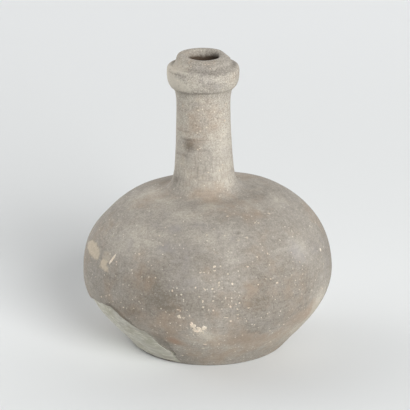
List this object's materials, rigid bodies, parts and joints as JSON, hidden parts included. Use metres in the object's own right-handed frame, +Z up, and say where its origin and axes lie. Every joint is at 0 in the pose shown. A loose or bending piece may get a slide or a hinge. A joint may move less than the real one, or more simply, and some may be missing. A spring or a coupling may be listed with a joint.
{
  "type": "narrow-necked bottle",
  "caption": "Globular unglazed grey-brown pottery bottle with a narrow straight neck, a thick applied collar under the lip, a flat base and an old plaster fill low on one side.",
  "frame": {"origin": "centre of the bottle's outline seen from above, on the plane that its flat base stands on", "axes": "+Z up through the mouth, -Y towards the side that was pictured, +X to that side's right, away from the fill"},
  "size_m": [0.1998, 0.2, 0.2355],
  "materials": {
    "blackware": "matte",
    "blackware_neck": "matte",
    "dried_slip": "matte",
    "fill_plaster": "matte"
  },
  "bodies": {
    "root": {"lower_body": "blackware", "upper_body": "blackware", "neck": "blackware_neck", "neck_root_coil": "blackware", "mouth_collar": "blackware_neck", "equator_slip_lute": "dried_slip", "neck_slip_lute": "dried_slip", "collar_slip_lute": "dried_slip", "restoration_fill": "fill_plaster"}
  },
  "joints": []
}
